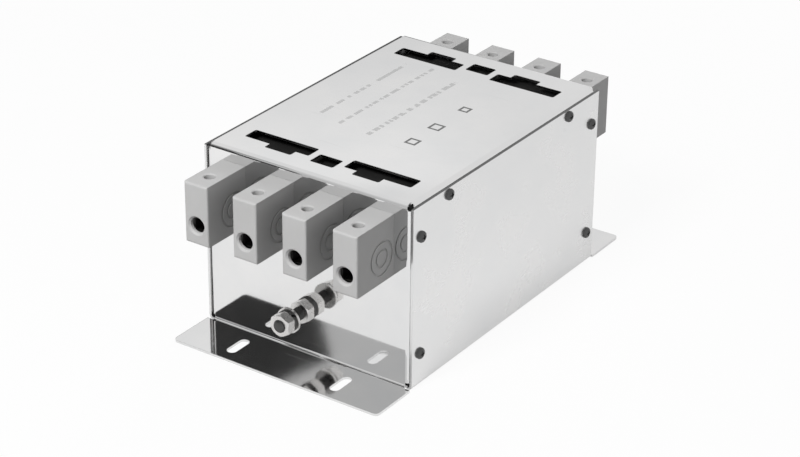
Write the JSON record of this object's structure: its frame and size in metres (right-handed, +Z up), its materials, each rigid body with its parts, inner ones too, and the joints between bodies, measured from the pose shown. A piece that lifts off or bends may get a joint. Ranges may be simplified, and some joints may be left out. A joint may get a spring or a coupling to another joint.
{
  "type": "emi line filter",
  "caption": "Boxed EMI line filter in folded bright steel: feed-through terminal blocks in a row on both end walls, ground studs, slotted mounting flanges and a lid with fill openings.",
  "frame": {"origin": "centre of the mounting plane under the flanges and the base", "axes": "+X along the body towards the load terminals, +Y across the body, +Z up through the lid"},
  "size_m": [0.276, 0.1546, 0.12],
  "materials": {
    "plated_steel": "bright tin-like plating with a soft mirror finish",
    "side_steel": "satin plated sheet",
    "screw_steel": "dark plated screws",
    "zinc_steel": "zinc plated, turned faces",
    "clamp_steel": "plated, dull",
    "grey_plastic": "light grey moulding, fine grain",
    "black_resin": "cast black resin with a soft gloss",
    "copper": "bare and enamelled copper",
    "choke_core": "dark coated core",
    "board_laminate": "green lacquered laminate",
    "capacitor_case": "moulded case",
    "small_capacitor": "dipped case",
    "resistor_body": "ceramic body"
  },
  "bodies": {
    "root": {"cover": "plated_steel", "tray": "side_steel", "side_screws": "screw_steel", "clamp_screws": "zinc_steel", "ground_bolts": "zinc_steel", "lock_washers": "zinc_steel", "ground_washers": "zinc_steel", "ground_nuts": "zinc_steel", "potting": "black_resin", "core_line": "choke_core", "core_load": "choke_core", "board": "board_laminate", "bleed_resistors": "resistor_body", "x_capacitor_1": "capacitor_case", "x_capacitor_2": "capacitor_case", "x_capacitor_3": "capacitor_case", "x_capacitor_4": "capacitor_case", "x_capacitor_5": "capacitor_case", "x_capacitor_6": "capacitor_case", "y_capacitor_1": "small_capacitor", "y_capacitor_2": "small_capacitor", "y_capacitor_3": "small_capacitor", "y_capacitor_4": "small_capacitor", "block_line_1": "grey_plastic", "cage_line_1": "clamp_steel", "busbar_line_1": "copper", "winding_line_1": "copper", "block_line_2": "grey_plastic", "cage_line_2": "clamp_steel", "busbar_line_2": "copper", "winding_line_2": "copper", "block_line_3": "grey_plastic", "cage_line_3": "clamp_steel", "busbar_line_3": "copper", "winding_line_3": "copper", "block_line_4": "grey_plastic", "cage_line_4": "clamp_steel", "busbar_line_4": "copper", "winding_line_4": "copper", "block_load_1": "grey_plastic", "cage_load_1": "clamp_steel", "busbar_load_1": "copper", "winding_load_1": "copper", "block_load_2": "grey_plastic", "cage_load_2": "clamp_steel", "busbar_load_2": "copper", "winding_load_2": "copper", "block_load_3": "grey_plastic", "cage_load_3": "clamp_steel", "busbar_load_3": "copper", "winding_load_3": "copper", "block_load_4": "grey_plastic", "cage_load_4": "clamp_steel", "busbar_load_4": "copper", "winding_load_4": "copper"}
  },
  "joints": []
}
